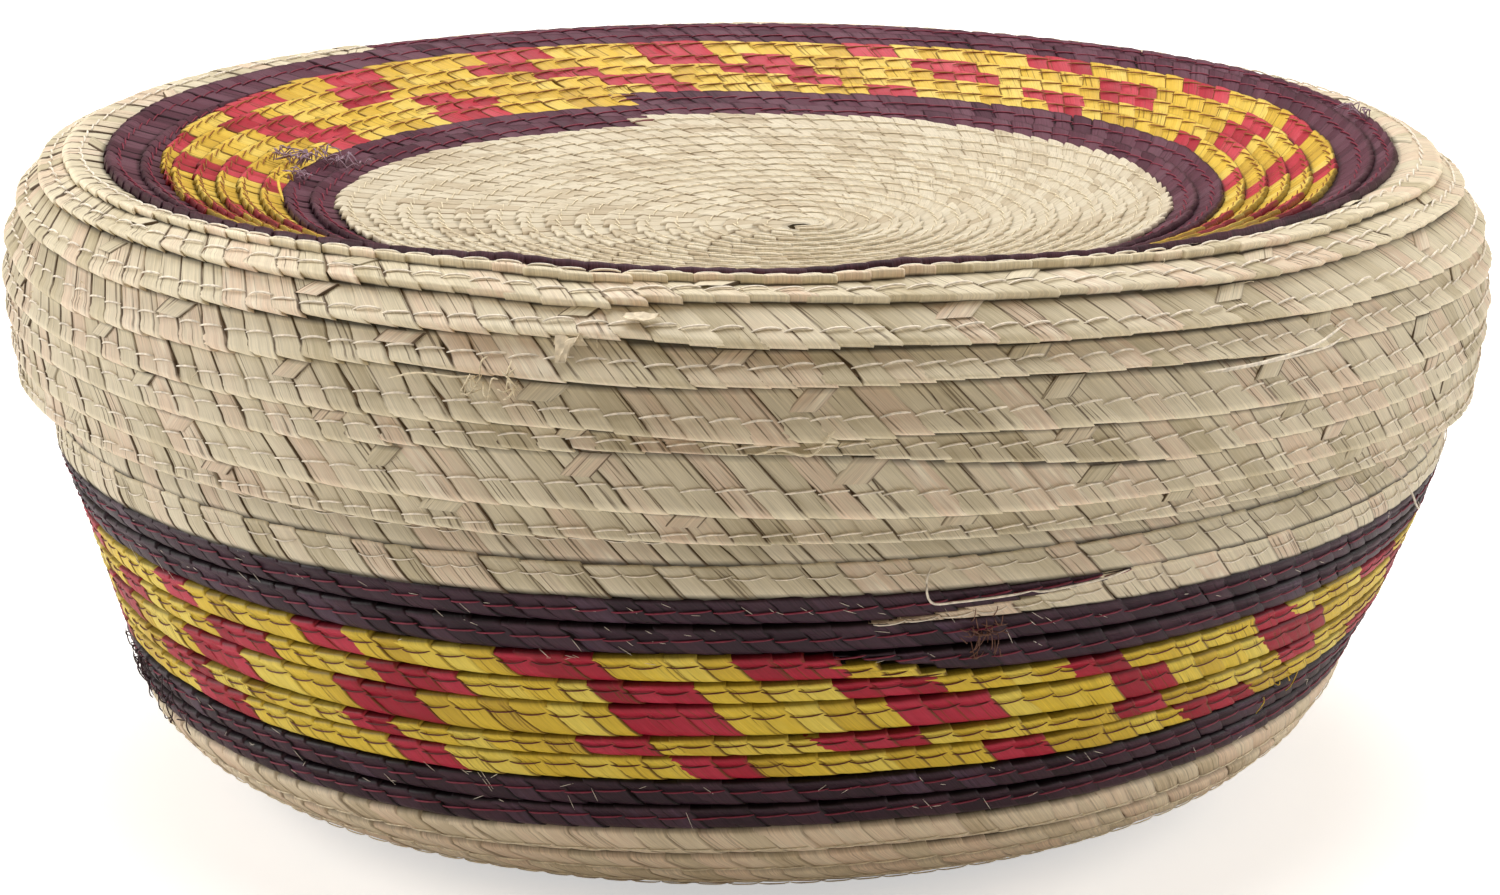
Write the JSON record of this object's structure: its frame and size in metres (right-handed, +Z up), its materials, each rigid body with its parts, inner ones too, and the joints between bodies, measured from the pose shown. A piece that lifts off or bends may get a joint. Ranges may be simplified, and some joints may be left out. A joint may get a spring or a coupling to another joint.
{
  "type": "tortilla basket",
  "caption": "Round lidded tortilla basket sewn from lapped turns of flat palm braid, with dyed stair-step bands, a dished top and a lift-off lid.",
  "frame": {"origin": "centre of the basket's floor, on the surface that it stands on", "axes": "+Z up along the axis of the basket and the lid, -Y towards the front that the picture shows, +X to its right"},
  "size_m": [0.2701, 0.2699, 0.1172],
  "materials": {
    "natural_palm": "matte, undyed dried palm leaf",
    "purple_palm": "satin, palm leaf dyed dark aubergine",
    "patterned_palm": "satin, palm leaf dyed mustard yellow with crimson blocks"
  },
  "bodies": {
    "basket": {"basket_floor_braid": "natural_palm", "basket_foot_braid": "natural_palm", "basket_lower_purple_braid": "purple_palm", "basket_pattern_braid": "patterned_palm", "basket_upper_purple_braid": "purple_palm", "basket_neck_braid": "natural_palm"},
    "lid": {"lid_centre_braid": "natural_palm", "lid_inner_purple_braid": "purple_palm", "lid_pattern_braid": "patterned_palm", "lid_outer_purple_braid": "purple_palm", "lid_shoulder_braid": "natural_palm", "lid_skirt_braid": "natural_palm"}
  },
  "joints": [
    {"name": "lid_lift", "type": "slide", "parent": "basket", "child": "lid", "axis": [0, 0, 1], "range_m": [0, 0.15]}
  ]
}
